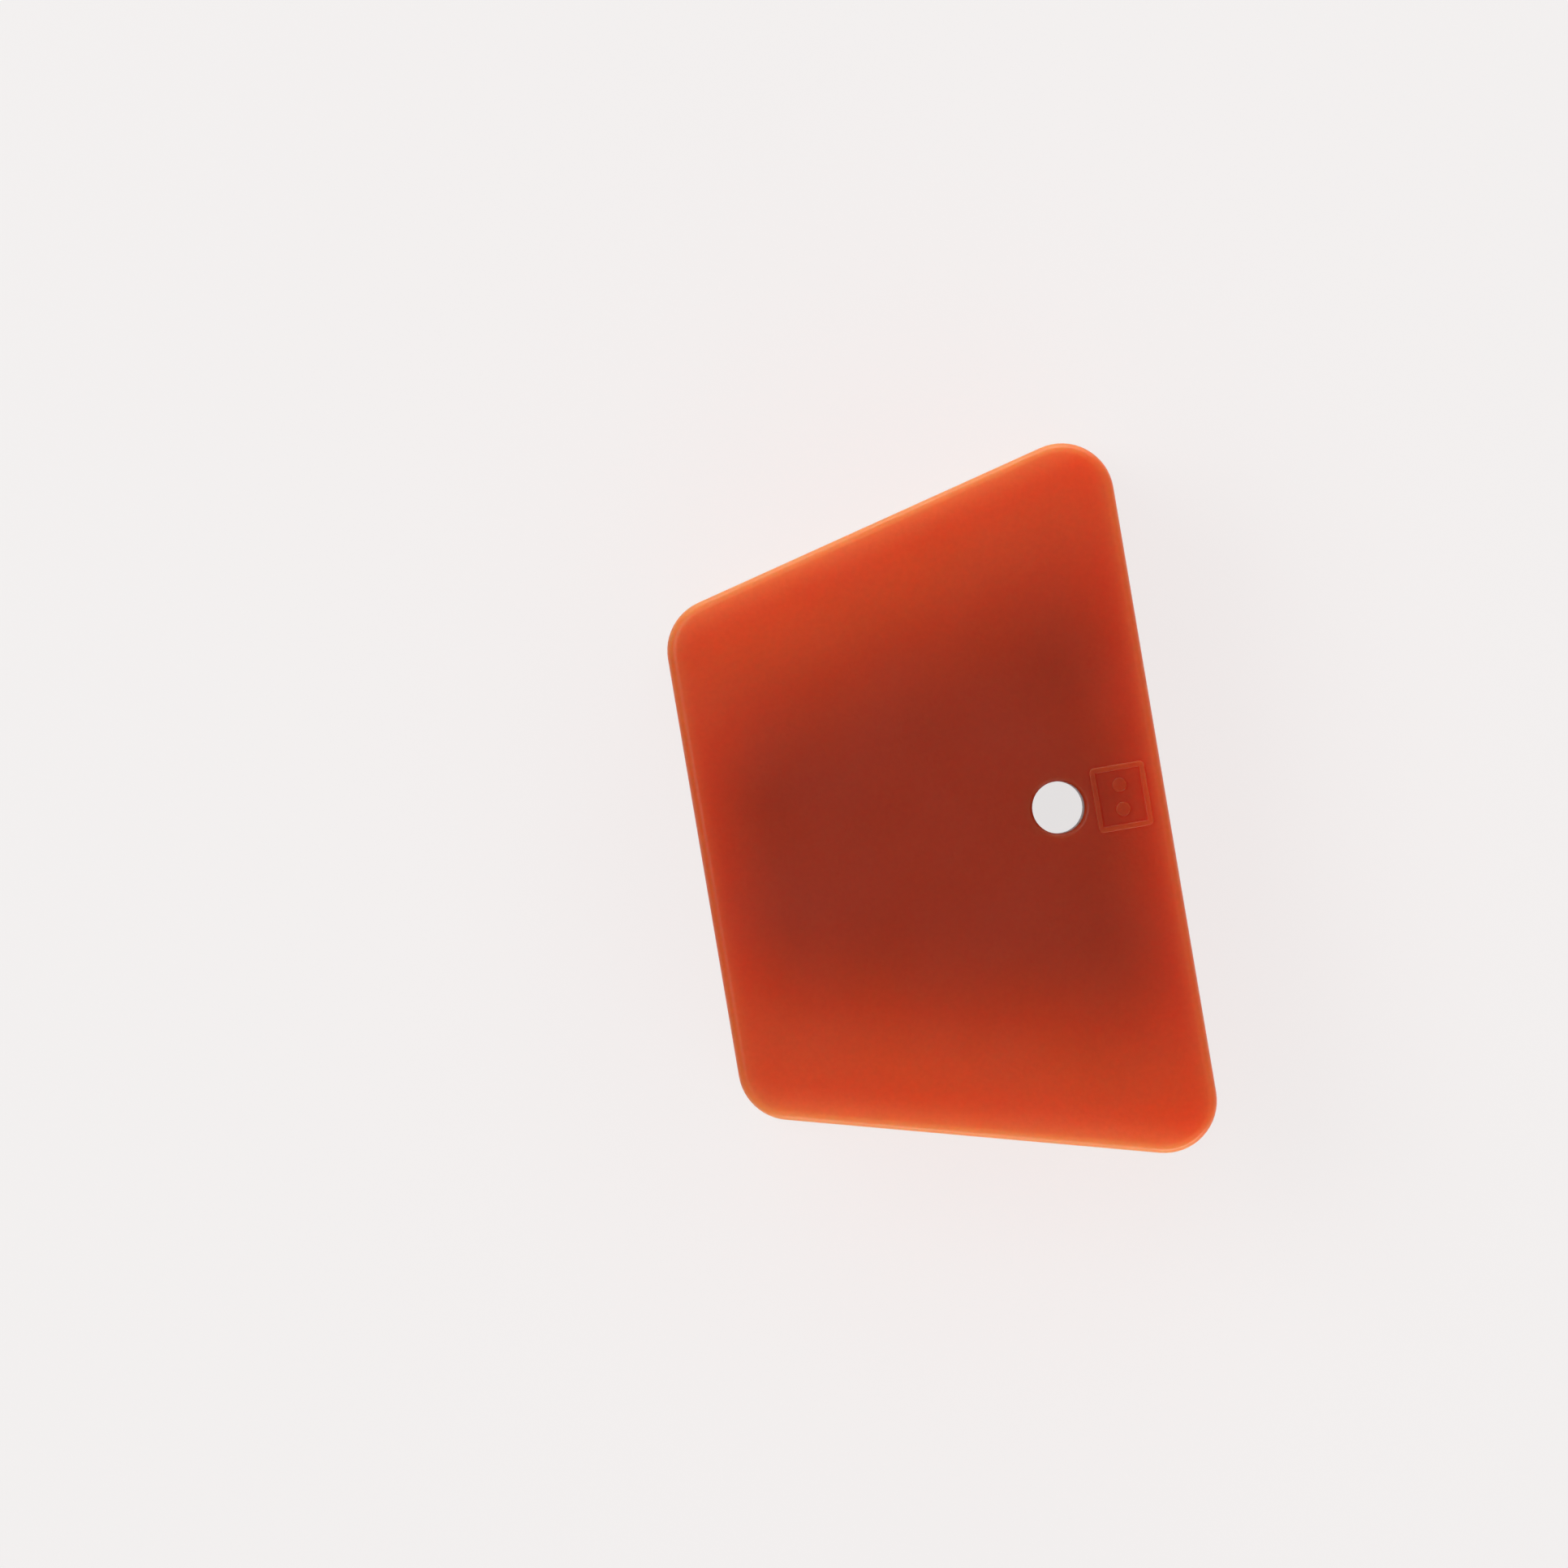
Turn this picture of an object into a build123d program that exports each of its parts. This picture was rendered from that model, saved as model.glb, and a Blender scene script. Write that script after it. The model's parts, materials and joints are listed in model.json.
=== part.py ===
from build123d import *

import os
from math import cos, floor, radians, sin, tan

# Dental bite block, or mouth prop: one wedge of moulded silicone rubber that keeps the jaws apart.
# It lies on its plain flat side. +X runs from the short end to the tall end, Y from one biting face to
# the other, and +Z across the teeth, up to the flat side with the size mark. Millimetres and degrees.

# The wedge
LENGTH = 28.6  # from the short end to the tall end
SHORT_END_HEIGHT = 30.8  # between the biting faces at the short end, at its sharp corners
BITE_SLOPE = 14.7  # lean of each biting face from the centre line
WIDTH = 19.0  # between the two flat sides
CORNER_RADIUS = 3.2  # the four corners, seen from a flat side
SIDE_EDGE_RADIUS = 0.6  # round along the outline of each flat side

# The shallow trough that the teeth sit in, along each biting face
RIM_WIDTH = 2.5  # left standing on each side of the trough
TROUGH_DEPTH = 2.5
LIP_RADIUS = 0.6  # round where the trough meets its rims and runs out at the ends

# The grip ribs across the floor of each trough
RIB_PITCH = 3.2
RIB_WIDTH = 1.8
RIB_BELOW_RIM = 1.2  # from the rims down to the crests
RIB_ROOT_RADIUS = 0.3

# The tether hole, from one flat side to the other
HOLE_DIAMETER = 3.2
HOLE_FROM_TALL_END = 6.6
HOLE_RIM_RADIUS = 0.3

# The raised size mark: a square frame with two pips, between the hole and the tall end
MARK_FROM_TALL_END = 2.7  # to the middle of the frame
MARK_LENGTH = 3.4
MARK_BREADTH = 4.0
MARK_LINE = 0.35
MARK_RELIEF = 0.2
MARK_CORNER_RADIUS = 0.3
MARK_EDGE_RADIUS = 0.08
PIP_DIAMETER = 0.9
PIP_SPACING = 1.5

# Worked out from the values above
slope = radians(BITE_SLOPE)
tall_end_x = LENGTH / 2
short_end_y = SHORT_END_HEIGHT / 2
tall_end_y = short_end_y + LENGTH * tan(slope)
middle_y = (short_end_y + tall_end_y) / 2

# A trough is a shallow arc, as wide as the rims leave and as deep as its depth
trough_width = WIDTH - 2 * RIM_WIDTH
trough_radius = (trough_width**2 / 4 + TROUGH_DEPTH**2) / (2 * TROUGH_DEPTH)

# Ribs stand on the straight stretch of a biting face, between its two rounded corners
short_corner_run = CORNER_RADIUS * tan(radians(45) - slope / 2)
tall_corner_run = CORNER_RADIUS * tan(radians(45) + slope / 2)
straight_run = LENGTH / cos(slope) - short_corner_run - tall_corner_run
straight_middle = (short_corner_run - tall_corner_run) / 2
rib_count = floor((straight_run - RIB_WIDTH) / RIB_PITCH) + 1
rib_bar_height = TROUGH_DEPTH + RIB_WIDTH - RIB_BELOW_RIM

# One plane for each biting face: x along the face to the tall end, y out of it, z across the teeth
bite_planes = [
    Plane(
        origin=(0, side * middle_y, WIDTH / 2),
        x_dir=(cos(slope), side * sin(slope), 0),
        z_dir=(0, 0, side),
    )
    for side in (1, -1)
]

with BuildPart() as bite_block:
    # The wedge, with a soft edge round both flat sides
    with BuildSketch() as outline:
        with BuildLine():
            Polyline(
                (-tall_end_x, -short_end_y),
                (tall_end_x, -tall_end_y),
                (tall_end_x, tall_end_y),
                (-tall_end_x, short_end_y),
                close=True,
            )
        make_face()
        fillet(outline.vertices(), CORNER_RADIUS)
    extrude(amount=WIDTH)
    fillet(bite_block.faces().filter_by(Axis.Z).edges(), SIDE_EDGE_RADIUS)

    for bite_plane in bite_planes:
        # The trough runs out at both ends of the biting face
        with Locations(bite_plane):
            with Locations((0, trough_radius - TROUGH_DEPTH, 0)):
                Cylinder(trough_radius, 2 * LENGTH, rotation=(0, 90, 0), mode=Mode.SUBTRACT)
        fillet(bite_block.edges(Select.NEW), LIP_RADIUS)

        # Round-topped bars across the trough, whose ends die into its rising walls
        with BuildSketch(bite_plane):
            with Locations((straight_middle, -RIB_BELOW_RIM - rib_bar_height / 2)):
                with GridLocations(RIB_PITCH, 0, rib_count, 1):
                    SlotOverall(rib_bar_height, RIB_WIDTH, rotation=90)
        extrude(amount=trough_width / 2, both=True)
        fillet(bite_block.edges(Select.NEW), RIB_ROOT_RADIUS)

    # The tether hole, with softened rims
    with Locations((tall_end_x - HOLE_FROM_TALL_END, 0, WIDTH)):
        Hole(HOLE_DIAMETER / 2)
    fillet(bite_block.edges(Select.NEW).filter_by(GeomType.CIRCLE), HOLE_RIM_RADIUS)

    # The size mark, raised from the upper flat side
    with BuildSketch(Plane.XY.offset(WIDTH)):
        with Locations((tall_end_x - MARK_FROM_TALL_END, 0)):
            RectangleRounded(MARK_LENGTH, MARK_BREADTH, MARK_CORNER_RADIUS)
            Rectangle(MARK_LENGTH - 2 * MARK_LINE, MARK_BREADTH - 2 * MARK_LINE, mode=Mode.SUBTRACT)
            with GridLocations(0, PIP_SPACING, 1, 2):
                Circle(PIP_DIAMETER / 2)
    extrude(amount=MARK_RELIEF)
    fillet(bite_block.faces().group_by(Axis.Z)[-1].edges(), MARK_EDGE_RADIUS)

bite_block.part.label = "bite_block"

os.makedirs("parts", exist_ok=True)
export_step(bite_block.part, "parts/bite_block.step")
print("bite_block:", bite_block.part.bounding_box().size, "volume", round(bite_block.part.volume), "mm3")
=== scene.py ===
# %% [markdown]
# # A silicone bite block
# A dental bite block is a wedge of soft rubber that a patient bites on, so that the mouth stays open.
# It is moulded in one shot, so the whole model is one piece with one finish. The CAD frame holds its
# true shape and size. This lesson smooths its shading, mixes the silicone, and lights it as on a
# photographer's table.

import json
from math import cos, pi, radians, sin

import bpy
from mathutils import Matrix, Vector

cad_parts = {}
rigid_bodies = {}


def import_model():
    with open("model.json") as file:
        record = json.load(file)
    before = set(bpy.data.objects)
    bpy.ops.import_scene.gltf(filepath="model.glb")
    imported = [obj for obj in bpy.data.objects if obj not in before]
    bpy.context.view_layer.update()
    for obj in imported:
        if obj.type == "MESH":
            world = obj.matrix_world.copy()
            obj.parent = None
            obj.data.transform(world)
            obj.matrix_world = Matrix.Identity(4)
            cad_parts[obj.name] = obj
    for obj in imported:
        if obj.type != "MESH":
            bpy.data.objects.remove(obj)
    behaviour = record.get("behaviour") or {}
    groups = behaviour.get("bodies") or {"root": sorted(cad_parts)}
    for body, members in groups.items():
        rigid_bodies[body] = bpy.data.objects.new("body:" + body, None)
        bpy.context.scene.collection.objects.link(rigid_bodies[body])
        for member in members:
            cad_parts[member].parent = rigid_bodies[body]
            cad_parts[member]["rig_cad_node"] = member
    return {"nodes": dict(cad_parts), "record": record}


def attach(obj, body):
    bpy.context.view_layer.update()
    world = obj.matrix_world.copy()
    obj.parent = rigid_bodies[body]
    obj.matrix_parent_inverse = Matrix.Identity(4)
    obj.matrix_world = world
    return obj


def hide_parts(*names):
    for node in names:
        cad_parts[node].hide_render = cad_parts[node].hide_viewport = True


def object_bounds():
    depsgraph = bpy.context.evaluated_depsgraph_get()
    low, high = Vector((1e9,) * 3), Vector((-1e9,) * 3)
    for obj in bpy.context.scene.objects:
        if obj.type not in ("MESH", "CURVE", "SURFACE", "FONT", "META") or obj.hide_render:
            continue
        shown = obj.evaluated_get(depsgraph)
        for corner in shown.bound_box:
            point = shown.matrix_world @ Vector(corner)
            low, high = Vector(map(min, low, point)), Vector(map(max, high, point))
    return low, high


MM = 0.001


def in_mm(box):
    """Gives a box's two corners in rounded millimetres."""
    return [[round(x / MM, 2) for x in corner] for corner in box]


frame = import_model()
cad_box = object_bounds()
print("CAD box in mm:", in_mm(cad_box))

# %% [markdown]
# ## The moulded block
# The real block comes out of its mould finished, and the CAD model has all of its forms: the troughs for
# the teeth, their grip ribs, the tether hole and the size mark. We could model them again here, but they
# would never match as well. So we dress a copy and leave the CAD node as it is. The tag that tells the
# frame's own nodes from ours comes off the copy.

# %% Copy the block
bpy.ops.object.select_all(action="DESELECT")
cad_block = frame["nodes"]["bite_block"]
cad_block.select_set(True)
bpy.context.view_layer.objects.active = cad_block
bpy.ops.object.duplicate()
block = bpy.context.active_object
block.name = "silicone_block"
block.data.name = "silicone_block"
del block["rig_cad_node"]
print("copied", cad_block.name, "as", block.name)

# %% [markdown]
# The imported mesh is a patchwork: each face of the solid was cut into triangles by itself and has corners of
# its own, so light would break along the seams. We could voxel remesh the block, but that would eat the
# fine size mark. Welding the corners that lie in the same place joins the faces and changes no shape at all.

# %% Weld the copy
WELD_DISTANCE = 0.001 * MM

loose_corners = len(block.data.vertices)
bpy.ops.object.mode_set(mode="EDIT")
bpy.ops.mesh.select_all(action="SELECT")
bpy.ops.mesh.customdata_custom_splitnormals_clear()
bpy.ops.mesh.remove_doubles(threshold=WELD_DISTANCE)
bpy.ops.object.mode_set(mode="OBJECT")
print("corners before and after welding:", loose_corners, len(block.data.vertices))

# %% [markdown]
# Rubber leaves its mould with soft rounds and flat sides, and the shading has to show both. Smooth
# shading alone would let the narrow rounds bend the light far into the flat sides. A Weighted Normal
# modifier lets the large faces rule over the small ones beside them, so the flat sides stay flat.

# %% Smooth the shading
SHARPEST_SMOOTH_EDGE = radians(40)
FACE_AREA_WEIGHT = 100

bpy.ops.object.shade_smooth_by_angle(angle=SHARPEST_SMOOTH_EDGE)
weighted = block.modifiers.new("weighted_normals", "WEIGHTED_NORMAL")
weighted.keep_sharp = True
weighted.weight = FACE_AREA_WEIGHT
bpy.ops.object.modifier_apply(modifier=weighted.name)
print("triangles with smooth shading:", sum(face.use_smooth for face in block.data.polygons))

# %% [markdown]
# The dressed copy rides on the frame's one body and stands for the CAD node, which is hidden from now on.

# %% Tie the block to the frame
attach(block, "root")
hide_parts("bite_block")
print("block triangles:", len(block.data.polygons))

# %% [markdown]
# ## Where the edges are
# Light sinks into silicone and comes out again nearby. In the thick heart of the block much of it is
# lost, so the heart looks deep red. Near an edge light enters from two sides, so the edge glows orange.
# The glow is widest along the biting faces, whose troughs thin the edge, and narrow along the ends.
# Subsurface scattering gives part of this, but only in Cycles and not in a baked texture. So the rest is
# painted into the colour: painted shade darkens the heart and painted glow lightens the edges. We could
# paint them by hand or use the Pointiness value, which follows the mesh's density. Distances to the
# wedge's own faces are cleaner, and the frame tells where those lie.

# %% Faces of the wedge
mounts = {mount["name"]: mount for mount in frame["record"]["mounts"]}
bite_normal = Vector(mounts["bite_trough_plus_y"]["axis"])
bite_distance = max(bite_normal.dot(corner.co) for corner in block.data.vertices)
half_width = mounts["tether_hole"]["pos_m"][2]  # the hole's middle lies half way up
half_length = cad_box[1].x
print("half length and half width in mm:", round(half_length / MM, 2), round(half_width / MM, 2))
print("distance of the biting faces in mm:", round(bite_distance / MM, 2))

# %% [markdown]
# The painted glow and the painted pale rim both follow the edges, each with a reach of its own, so one node
# group makes the mask and is placed twice. "Bite" inputs are for the two biting faces and "End" inputs for
# the two ends. "Inward Weight" is for the way down those faces, away from the flat sides: the lower it is,
# the further down the mask reaches. A small helper adds a node and sets its properties in one line.

# %% Sockets of the edge group
EDGE_INPUTS = ("Bite Full", "Bite Reach", "End Reach", "End Share", "Inward Weight")


def add_node(tree, kind, **settings):
    """Adds a node and sets its properties."""
    node = tree.nodes.new(kind)
    for name, value in settings.items():
        setattr(node, name, value)
    return node


edge_group = bpy.data.node_groups.new("edge_closeness", "ShaderNodeTree")
edge_group.interface.new_socket("Position", in_out="INPUT", socket_type="NodeSocketVector")
for name in EDGE_INPUTS:
    edge_group.interface.new_socket(name, in_out="INPUT", socket_type="NodeSocketFloat")
edge_group.interface.new_socket("Closeness", in_out="OUTPUT", socket_type="NodeSocketFloat")
given = add_node(edge_group, "NodeGroupInput").outputs
wanted = add_node(edge_group, "NodeGroupOutput").inputs
print("sockets of the edge group:", [item.name for item in edge_group.interface.items_tree])

# %% [markdown]
# The flat sides, the ends and the biting faces come in pairs, and each pair lies evenly about the middle.
# So an absolute value folds a pair into one, and each distance takes a few Math nodes. Two more helpers add
# and link them: what they are fed may be a plain number or another node's output.


# %% Distances to the faces
def feed(tree, socket, value):
    """Links value to socket if it is another socket, and otherwise sets it there."""
    if isinstance(value, bpy.types.NodeSocket):
        tree.links.new(value, socket)
    else:
        socket.default_value = value


def compute(tree, operation, *values):
    """Adds a Math node and returns its result."""
    node = add_node(tree, "ShaderNodeMath", operation=operation)
    for socket, value in zip(node.inputs, values):
        feed(tree, socket, value)
    return node.outputs[0]


point = add_node(edge_group, "ShaderNodeSeparateXYZ")
feed(edge_group, point.inputs[0], given["Position"])
x, y, z = point.outputs
to_end = compute(edge_group, "SUBTRACT", half_length, compute(edge_group, "ABSOLUTE", x))
from_middle = compute(edge_group, "ABSOLUTE", compute(edge_group, "SUBTRACT", z, half_width))
to_side = compute(edge_group, "SUBTRACT", half_width, from_middle)
outwards = compute(edge_group, "MULTIPLY", compute(edge_group, "ABSOLUTE", y), bite_normal.y)
outwards = compute(edge_group, "MULTIPLY_ADD", x, bite_normal.x, outwards)
to_bite = compute(edge_group, "SUBTRACT", bite_distance, outwards)
print("nodes for the distances:", len(edge_group.nodes))

# %% [markdown]
# A point is close to an edge only if it is close to both faces that meet there, so the greater of the two
# distances counts. A Map Range node turns it into a mask with a soft end. The masks of the two kinds of
# edge join as in a Screen blend: what one leaves dark, the other may still light.


# %% From distances to closeness
def map_range(tree, value, low, high, to_low, to_high, curve="LINEAR"):
    """Adds a clamped Map Range node and returns its result."""
    node = add_node(tree, "ShaderNodeMapRange", clamp=True, interpolation_type=curve)
    for socket, number in zip(node.inputs, (value, low, high, to_low, to_high)):
        feed(tree, socket, number)
    return node.outputs[0]


def fade(distance, full, reach):
    """Adds a mask that is 1 up to a distance from an edge and fades softly to 0 at its reach."""
    return map_range(edge_group, distance, full, reach, 1.0, 0.0, "SMOOTHSTEP")


inwards = compute(edge_group, "MULTIPLY", to_side, given["Inward Weight"])
bite_edge = compute(edge_group, "MAXIMUM", to_bite, inwards)
end_edge = compute(edge_group, "MAXIMUM", to_end, compute(edge_group, "MINIMUM", to_bite, inwards))
bite_glow = fade(bite_edge, given["Bite Full"], given["Bite Reach"])
end_glow = compute(edge_group, "MULTIPLY", fade(end_edge, 0.0, given["End Reach"]), given["End Share"])
dark = compute(edge_group, "SUBTRACT", 1.0, bite_glow)
dark = compute(edge_group, "MULTIPLY", dark, compute(edge_group, "SUBTRACT", 1.0, end_glow))
feed(edge_group, wanted["Closeness"], compute(edge_group, "SUBTRACT", 1.0, dark))
print("nodes in the edge group:", len(edge_group.nodes))

# %% [markdown]
# ## Orange silicone: its colour and painted light
# The rubber is dyed in the mass, so one material serves the whole block. One flat colour would look like
# painted metal, so the colour is mixed from several, on Object coordinates, and part of it is painted light:
# painted shade in the heart and painted glow along the edges. Object coordinates need no unwrapping, and
# they stay with the block when it is moved.

# %% Start the silicone
silicone = bpy.data.materials.new("orange_silicone")
silicone.use_nodes = True
silicone_tree = silicone.node_tree
shader = silicone_tree.nodes["Principled BSDF"]
position = add_node(silicone_tree, "ShaderNodeTexCoord").outputs["Object"]


def closeness(settings):
    """Places the edge group with those settings and returns its mask."""
    edges = add_node(silicone_tree, "ShaderNodeGroup", node_tree=edge_group)
    feed(silicone_tree, edges.inputs["Position"], position)
    for name, value in settings.items():
        feed(silicone_tree, edges.inputs[name], value)
    return edges.outputs["Closeness"]


print("material:", silicone.name)

# %% [markdown]
# The colour runs from a deep red heart through a glowing ember to orange along the biting faces. The dark
# heart is painted shade, and the paler orange towards the edges is painted glow from the light that enters
# there. A plain mix of red and orange would be duller half way than the real rubber, so a Color Ramp goes
# through the ember. The edge group's mask says how far along the ramp each point is.

# %% Heart, ember and glow: painted shade and painted glow
# The ramp's stops paint light into the colour: painted shade at the heart, painted glow at the edges.
PAINTED_LIGHT_RAMP = {
    0.0: (0.510, 0.047, 0.0120, 1),  # heart
    0.6: (0.700, 0.0665, 0.0130, 1),  # ember
    1.0: (0.785, 0.106, 0.0225, 1),  # glow
}
PAINTED_GLOW_EDGES = {
    "Bite Full": 2.5 * MM,
    "Bite Reach": 13.5 * MM,
    "End Reach": 5.5 * MM,
    "End Share": 0.42,
    "Inward Weight": 0.25,
}


def colour_ramp(tree, factor, stops):
    """Adds a Color Ramp with a colour at each position and returns its colour."""
    node = add_node(tree, "ShaderNodeValToRGB")
    feed(tree, node.inputs[0], factor)
    elements = node.color_ramp.elements
    while len(elements) < len(stops):
        elements.new(1.0)
    for element, (place, colour) in zip(elements, stops.items()):
        element.position = place
        element.color = colour
    return node.outputs["Color"]


# Dye with painted shade in the heart and painted glow along the edges.
dye_and_painted_light = colour_ramp(silicone_tree, closeness(PAINTED_GLOW_EDGES), PAINTED_LIGHT_RAMP)
print("colours in the dye ramp:", len(PAINTED_LIGHT_RAMP))

# %% [markdown]
# At the very edge the rubber is thinnest, and light shines through it and off its rounds. That paler amber
# is painted into the colour as painted glow and painted highlight. We could give the rounds of the mesh a
# material of their own, but that would end in a hard border. Here the same group makes a narrower mask, and
# a power makes it fall off fast, so the rim stays slim and still fades softly.

# %% Pale rim: painted glow and painted highlight
# An amber painted along the very edge: painted glow and painted highlight, not the rubber's own colour.
PAINTED_RIM_COLOUR = (0.780, 0.235, 0.0750, 1)
RIM_SHARPNESS = 2.5
RIM_EDGES = {
    "Bite Full": 0.0,
    "Bite Reach": 3.4 * MM,
    "End Reach": 2.2 * MM,
    "End Share": 0.65,
    "Inward Weight": 0.3,
}

# The painted rim's mask, and the mix that lays its painted glow over the dyed colour.
rim = compute(silicone_tree, "POWER", closeness(RIM_EDGES), RIM_SHARPNESS)
with_painted_rim = add_node(silicone_tree, "ShaderNodeMixRGB")
for socket, value in zip(with_painted_rim.inputs, (rim, dye_and_painted_light, PAINTED_RIM_COLOUR)):
    feed(silicone_tree, socket, value)
print("rim reaches in from the biting faces, in mm:", round(RIM_EDGES["Bite Reach"] / MM, 1))

# %% [markdown]
# Pigment that was stirred into the rubber leaves faint clouds a few millimetres wide and finer specks. An
# image of them would need unwrapping and would show its seams. Noise on Object coordinates is solid, like
# the dye, so it runs on across the edges. It changes the brightness by a few percent only.

# %% Clouds and specks
CLOUD_SIZE = 5.0 * MM
CLOUD_DETAIL = 4.0
CLOUD_DEPTH = 0.02
SPECK_SIZE = 0.3 * MM
SPECK_DETAIL = 2.0
SPECK_DEPTH = 0.025
NOISE_LOW = 0.3
NOISE_HIGH = 0.7


def noise(size, detail):
    """Adds solid noise with features of that size and returns its grey value."""
    node = add_node(silicone_tree, "ShaderNodeTexNoise")
    feed(silicone_tree, node.inputs["Vector"], position)
    feed(silicone_tree, node.inputs["Scale"], 1 / size)
    feed(silicone_tree, node.inputs["Detail"], detail)
    return node.outputs["Fac"]


def unevenness(size, detail, depth):
    """Adds noise that swings around 1 by that depth."""
    return map_range(silicone_tree, noise(size, detail), NOISE_LOW, NOISE_HIGH, 1 - depth, 1 + depth)


clouds = unevenness(CLOUD_SIZE, CLOUD_DETAIL, CLOUD_DEPTH)
specks = unevenness(SPECK_SIZE, SPECK_DETAIL, SPECK_DEPTH)
pigment = add_node(silicone_tree, "ShaderNodeHueSaturation")
feed(silicone_tree, pigment.inputs["Value"], compute(silicone_tree, "MULTIPLY", clouds, specks))
feed(silicone_tree, pigment.inputs["Color"], with_painted_rim.outputs[0])
feed(silicone_tree, shader.inputs["Base Color"], pigment.outputs["Color"])
print("cloud and speck size in mm:", round(CLOUD_SIZE / MM, 2), round(SPECK_SIZE / MM, 2))

# %% [markdown]
# ## Orange silicone: its skin
# A mould for rubber is often spark eroded, which leaves a fine satin grain, and the rubber shrinks a little
# unevenly as it cures, which leaves a faint waviness. Both are far too fine for the mesh, so they are bump.
# With the Bump node's distance at one metre, its height is the true relief in metres.

# %% Grain and waves
GRAIN_SIZE = 0.25 * MM
GRAIN_DETAIL = 2.0
GRAIN_HEIGHT = 0.014 * MM
WAVE_SIZE = 4.0 * MM
WAVE_DETAIL = 1.0
WAVE_HEIGHT = 0.01 * MM
ONE_METRE = 1.0

grain = noise(GRAIN_SIZE, GRAIN_DETAIL)
waves = noise(WAVE_SIZE, WAVE_DETAIL)
relief = compute(silicone_tree, "MULTIPLY", grain, GRAIN_HEIGHT)
relief = compute(silicone_tree, "MULTIPLY_ADD", waves, WAVE_HEIGHT, relief)
bump = add_node(silicone_tree, "ShaderNodeBump")
feed(silicone_tree, bump.inputs["Distance"], ONE_METRE)
feed(silicone_tree, bump.inputs["Height"], relief)
feed(silicone_tree, shader.inputs["Normal"], bump.outputs["Normal"])
print("grain and wave height in mm:", round(GRAIN_HEIGHT / MM, 3), round(WAVE_HEIGHT / MM, 3))

# %% [markdown]
# Handling leaves smudges that are a little shinier or duller than the rest. One roughness all over would
# look like fresh plastic, so it varies with broad noise and, a little, with the grain.

# %% Smudges
SMUDGE_SIZE = 6.0 * MM
SMUDGE_DETAIL = 5.0
SMUDGE_LOW = 0.35
SMUDGE_HIGH = 0.65
GRAIN_SHARE = 0.2
SHINIEST = 0.30
DULLEST = 0.40

smudges = compute(silicone_tree, "MULTIPLY", noise(SMUDGE_SIZE, SMUDGE_DETAIL), 1 - GRAIN_SHARE)
smudges = compute(silicone_tree, "MULTIPLY_ADD", grain, GRAIN_SHARE, smudges)
roughness = map_range(silicone_tree, smudges, SMUDGE_LOW, SMUDGE_HIGH, SHINIEST, DULLEST)
feed(silicone_tree, shader.inputs["Roughness"], roughness)
print("roughness from", SHINIEST, "to", DULLEST)

# %% [markdown]
# ## Orange silicone: light inside it
# Red light travels several millimetres through the rubber, and green and blue light much less, so thin
# ribs and rims glow and shadows inside the hole turn red. We could fake that with emission, but it would
# glow in the dark too. The subsurface radius gives each colour its own reach. Silicone bends light less
# than glass does, and its satin skin mirrors less than a polished one.

# %% Silicone depth
SILICONE_IOR = 1.41
SATIN_GLOSS = 0.35
LIGHT_REACH = 9.0 * MM
REACH_OF_RED_GREEN_BLUE = (1.0, 0.25, 0.12)

shader.inputs["IOR"].default_value = SILICONE_IOR
shader.inputs["Specular IOR Level"].default_value = SATIN_GLOSS
shader.inputs["Subsurface Weight"].default_value = 1.0
shader.inputs["Subsurface Radius"].default_value = REACH_OF_RED_GREEN_BLUE
shader.inputs["Subsurface Scale"].default_value = LIGHT_REACH
block.data.materials.clear()
block.data.materials.append(silicone)
print("nodes in the silicone:", len(silicone_tree.nodes))

# %% [markdown]
# ## The table
# The block lies on pale paper. A curved studio sweep would hide the far edge, but a flat plane does too if
# it is far larger than the block and the backdrop has its colour. It is stage, not part of the object.

# %% Floor
FLOOR_SIZE = 4.0

bpy.ops.object.select_all(action="DESELECT")
bpy.ops.mesh.primitive_plane_add(size=FLOOR_SIZE, location=(0, 0, 0))
floor = bpy.context.active_object
floor.name = "floor"
print("floor size in m:", floor.dimensions.x)

# %% [markdown]
# Matt paper scatters light evenly and hardly mirrors, so it is rough and has little gloss.

# %% Paper
PAPER_COLOUR = (0.86, 0.85, 0.84, 1)
PAPER_ROUGHNESS = 0.9
PAPER_GLOSS = 0.1

paper = bpy.data.materials.new("pale_paper")
paper.use_nodes = True
paper_tree = paper.node_tree
paper_shader = paper_tree.nodes["Principled BSDF"]
paper_shader.inputs["Base Color"].default_value = PAPER_COLOUR
paper_shader.inputs["Roughness"].default_value = PAPER_ROUGHNESS
paper_shader.inputs["Specular IOR Level"].default_value = PAPER_GLOSS
floor.data.materials.append(paper)
print("material:", paper.name)

# %% [markdown]
# White paper under soft lamps would come out grey, and more light would bleach the block. So the paper
# glows instead, but only for the camera and for mirror-like rays: its glow shows, and never lights the
# block. A share of real paper is mixed in, which keeps the block's soft shadow.

# %% Glow of the paper
SEEN_COLOUR = (0.985, 0.960, 0.955, 1)
SEEN_SHARE = 0.78

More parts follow.
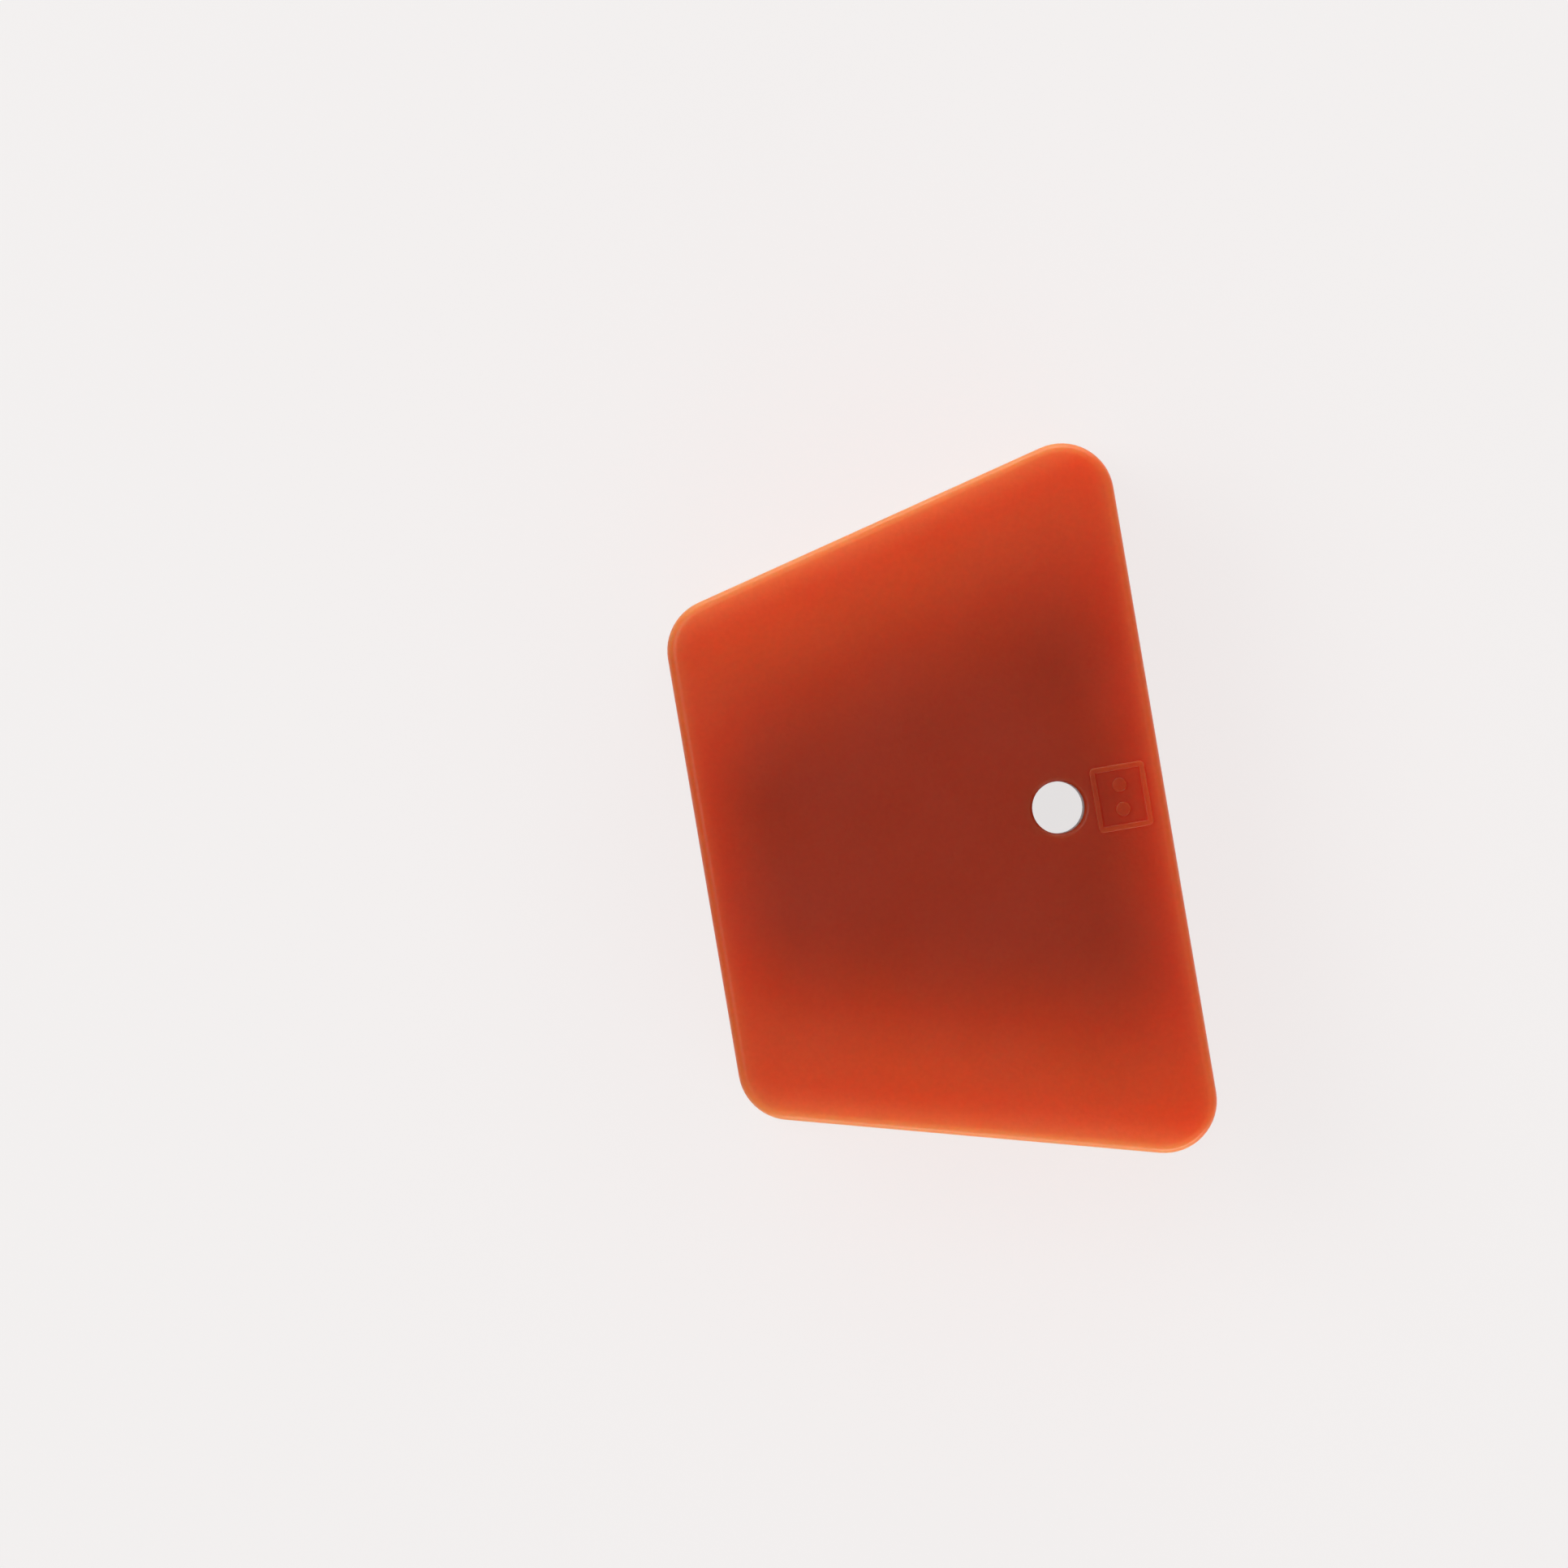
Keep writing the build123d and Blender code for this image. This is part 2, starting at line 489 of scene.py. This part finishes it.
rays = add_node(paper_tree, "ShaderNodeLightPath").outputs
mirrored = compute(paper_tree, "MAXIMUM", rays["Is Glossy Ray"], rays["Is Transmission Ray"])
seen = compute(paper_tree, "MAXIMUM", rays["Is Camera Ray"], mirrored)
glow = add_node(paper_tree, "ShaderNodeEmission")
glow.inputs["Color"].default_value = SEEN_COLOUR
mixed = add_node(paper_tree, "ShaderNodeMixShader")
feed(paper_tree, mixed.inputs[0], compute(paper_tree, "MULTIPLY", seen, SEEN_SHARE))
feed(paper_tree, mixed.inputs[1], paper_shader.outputs[0])
feed(paper_tree, mixed.inputs[2], glow.outputs[0])
feed(paper_tree, paper_tree.nodes["Material Output"].inputs["Surface"], mixed.outputs[0])
print("share of the paper that glows:", SEEN_SHARE)

# %% [markdown]
# ## The light
# The light is a tent, as for small shiny goods: a low bright ring, a dark band above it, a bright ring
# under the ceiling and a dark hole at the top, where the camera looks in. One even dome would mirror in
# every satin face and veil its deep colour. The bands leave sheen only where a face turns away. A ramp
# over the height of each direction paints them, from the horizon at 0 to straight up at 1.

# %% Tent
TENT_BRIGHTNESS = {
    0.00: 0.60,  # low ring
    0.10: 0.60,
    0.20: 0.12,  # dark band
    0.60: 0.12,
    0.72: 0.70,  # ceiling ring
    0.90: 0.60,
    0.97: 0.15,  # hole for the camera
}

world = bpy.data.worlds.new("tent")
bpy.context.scene.world = world
world.use_nodes = True
tent_tree = world.node_tree
tent = tent_tree.nodes["Background"]
direction = add_node(tent_tree, "ShaderNodeSeparateXYZ")
feed(tent_tree, direction.inputs[0], add_node(tent_tree, "ShaderNodeTexCoord").outputs["Generated"])
greys = {height: (grey, grey, grey, 1) for height, grey in TENT_BRIGHTNESS.items()}
feed(tent_tree, tent.inputs["Color"], colour_ramp(tent_tree, direction.outputs["Z"], greys))
print("heights with a brightness in the tent:", len(greys))

# %% [markdown]
# Beyond the floor, the camera sees the same pale shade as the paper, so no horizon shows. Only camera rays
# see it, so it sends no light to the block.

# %% Backdrop
backdrop = add_node(tent_tree, "ShaderNodeBackground")
backdrop.inputs["Color"].default_value = SEEN_COLOUR
mixed = add_node(tent_tree, "ShaderNodeMixShader")
feed(tent_tree, mixed.inputs[0], add_node(tent_tree, "ShaderNodeLightPath").outputs["Is Camera Ray"])
feed(tent_tree, mixed.inputs[1], tent.outputs[0])
feed(tent_tree, mixed.inputs[2], backdrop.outputs[0])
feed(tent_tree, tent_tree.nodes["World Output"].inputs["Surface"], mixed.outputs[0])
print("nodes in the tent:", len(tent_tree.nodes))

# %% [markdown]
# Two panels stand beside the biting faces, a little towards the tall end. They send light in through those
# faces, which is what makes the long edges glow. They are low and narrow, so they hardly brighten the flat
# side on top, and their mirror images are thin lines. An area lamp takes watts: its brightness, where 1 is
# white, times its area times pi.

# %% Side panels
PANEL_BEARING = radians(80)
PANEL_DISTANCE = 0.3
PANEL_WIDTH = 0.4
PANEL_HEIGHT = 0.05
PANEL_BRIGHTNESS = 10.8
ABOVE_FLOOR = 0.005


def soft_lamp(name, place, target, width, height, brightness):
    """Adds a rectangular lamp that faces a target and that the camera doesn't see."""
    data = bpy.data.lights.new(name, "AREA")
    data.shape = "RECTANGLE"
    data.size = width
    data.size_y = height
    data.energy = brightness * pi * width * height
    lamp = bpy.data.objects.new(name, data)
    bpy.context.scene.collection.objects.link(lamp)
    lamp.location = place
    lamp.rotation_euler = (place - target).to_track_quat("Z", "Y").to_euler()
    lamp.visible_camera = False
    print(name, "watts:", round(data.energy, 3))


between_panels = Vector((0, 0, PANEL_HEIGHT / 2 + ABOVE_FLOOR))
for name, bearing in {"panel_plus_y": PANEL_BEARING, "panel_minus_y": -PANEL_BEARING}.items():
    stand = between_panels + PANEL_DISTANCE * Vector((cos(bearing), sin(bearing), 0))
    soft_lamp(name, stand, between_panels, PANEL_WIDTH, PANEL_HEIGHT, PANEL_BRIGHTNESS)

# %% [markdown]
# A soft key lamp hangs high over the short end, to one side. It gives the block a lit and a shaded side and
# a soft shadow. It stays off the vertical, so that the flat side doesn't mirror it into the camera.

# %% Key lamp
KEY_BEARING = radians(150)
KEY_ELEVATION = radians(60)
KEY_DISTANCE = 0.5
KEY_SIZE = 0.25
KEY_BRIGHTNESS = 2.6

towards_key = Vector((
    cos(KEY_ELEVATION) * cos(KEY_BEARING),
    cos(KEY_ELEVATION) * sin(KEY_BEARING),
    sin(KEY_ELEVATION),
))
soft_lamp("key", KEY_DISTANCE * towards_key, Vector((0, 0, 0)), KEY_SIZE, KEY_SIZE, KEY_BRIGHTNESS)

# %% [markdown]
# ## The camera
# The photograph looks straight down on the block, which is turned a little and lies right of the middle.
# Its hole shows no wall, so the camera stood far off: a long lens from over two metres gives the same flat
# view. The photograph's own pixels say how large the block is in the frame, where its origin is and how
# far it is turned. The Standard view transform shows each colour as it is lit.

# %% Camera
PHOTO_SIDE = 1932
PHOTO_PIXELS_PER_MM = 20.17
BLOCK_ORIGIN_IN_PHOTO = Vector((1151, 1021))
BLOCK_TURN = radians(9.65)
CAMERA_HEIGHT = 2.4

camera = bpy.data.objects.new("camera", bpy.data.cameras.new("camera"))
bpy.context.scene.collection.objects.link(camera)
bpy.context.scene.camera = camera
top = cad_box[1].z
right = Vector((cos(BLOCK_TURN), -sin(BLOCK_TURN), 0))
up = Vector((sin(BLOCK_TURN), cos(BLOCK_TURN), 0))
photo_middle = Vector((PHOTO_SIDE / 2, PHOTO_SIDE / 2))
offset = (BLOCK_ORIGIN_IN_PHOTO - photo_middle) / PHOTO_PIXELS_PER_MM * MM
camera.location = -offset.x * right + offset.y * up + Vector((0, 0, top + CAMERA_HEIGHT))
camera.rotation_euler = (0, 0, -BLOCK_TURN)
view_width = PHOTO_SIDE / PHOTO_PIXELS_PER_MM * MM
camera.data.lens = camera.data.sensor_width * CAMERA_HEIGHT / view_width
bpy.context.scene.view_settings.view_transform = "Standard"
print("lens in mm:", round(camera.data.lens))
